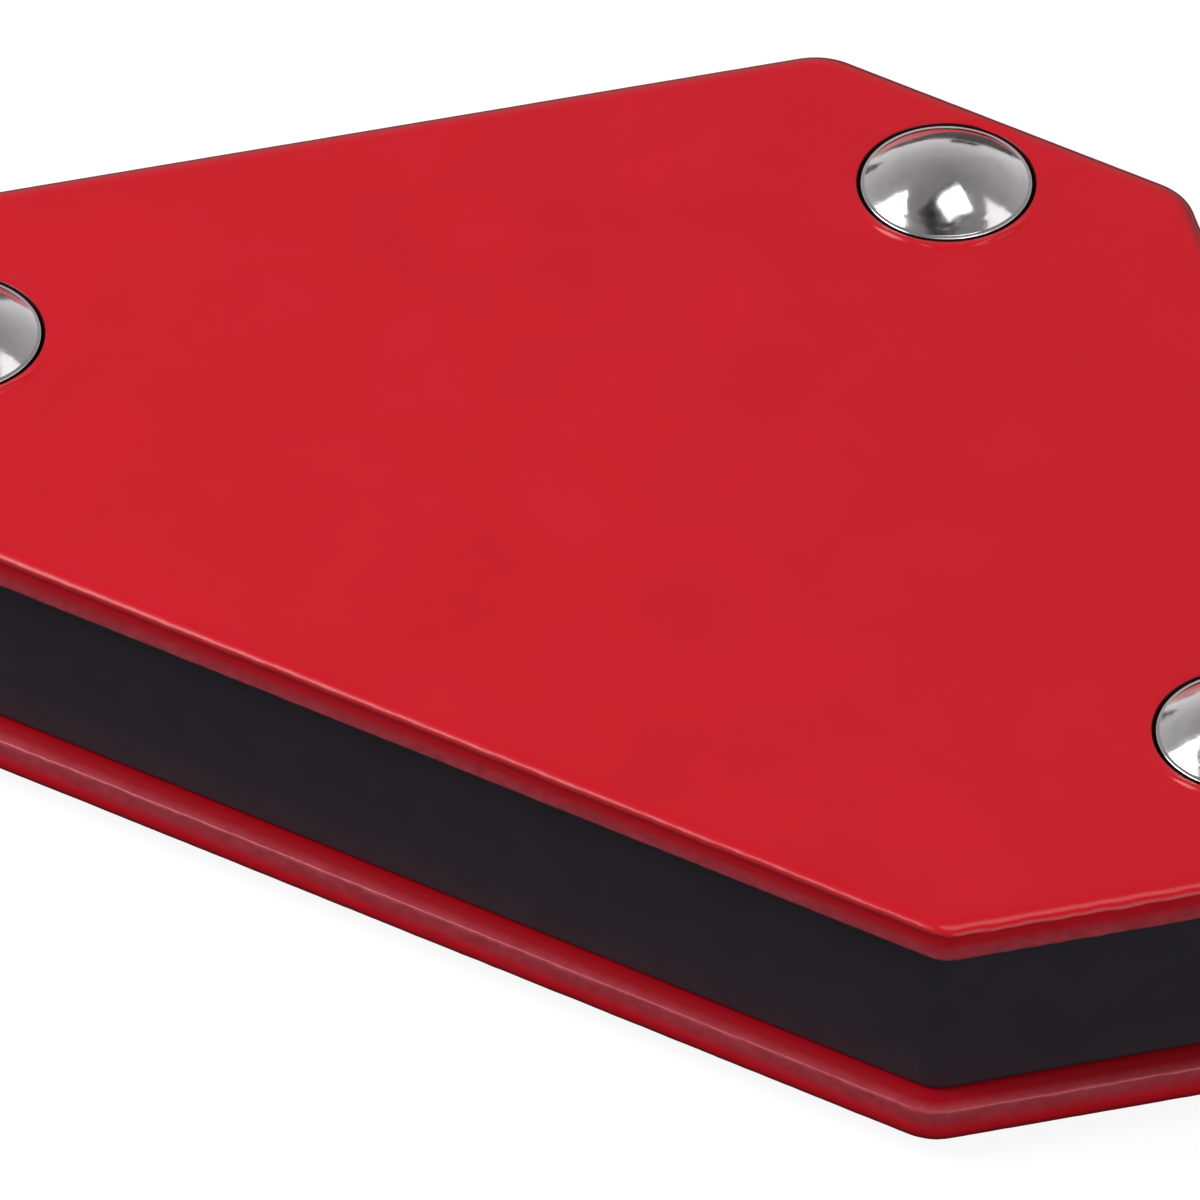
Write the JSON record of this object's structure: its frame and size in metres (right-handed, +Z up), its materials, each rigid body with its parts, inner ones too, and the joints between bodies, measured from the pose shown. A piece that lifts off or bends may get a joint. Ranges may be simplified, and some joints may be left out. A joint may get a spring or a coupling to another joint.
{
  "type": "welding magnet holder",
  "caption": "Flat arrow-shaped magnet that holds steel at set angles for welding: red steel pole plates riveted over a black spacer.",
  "frame": {"origin": "middle of the outline's width and depth, at the lowest point of the rivets' formed tails", "axes": "+X along the base edge, +Y from the base to the short apex edge, +Z up through the plates towards the domed rivet heads"},
  "size_m": [0.083, 0.049, 0.0157],
  "materials": {
    "red_paint": "satin",
    "black_plastic": "satin",
    "ferrite": "matte",
    "rivet_nickel": "polished",
    "zinc_steel": "satin"
  },
  "bodies": {
    "root": {"upper_pole_plate": "red_paint", "lower_pole_plate": "red_paint", "spacer_frame": "black_plastic", "magnet_block_left": "ferrite", "magnet_block_right": "ferrite", "rivet_left": "rivet_nickel", "rivet_right": "rivet_nickel", "rivet_apex": "rivet_nickel", "spacer_sleeve_left": "zinc_steel", "spacer_sleeve_right": "zinc_steel", "spacer_sleeve_apex": "zinc_steel"}
  },
  "joints": []
}
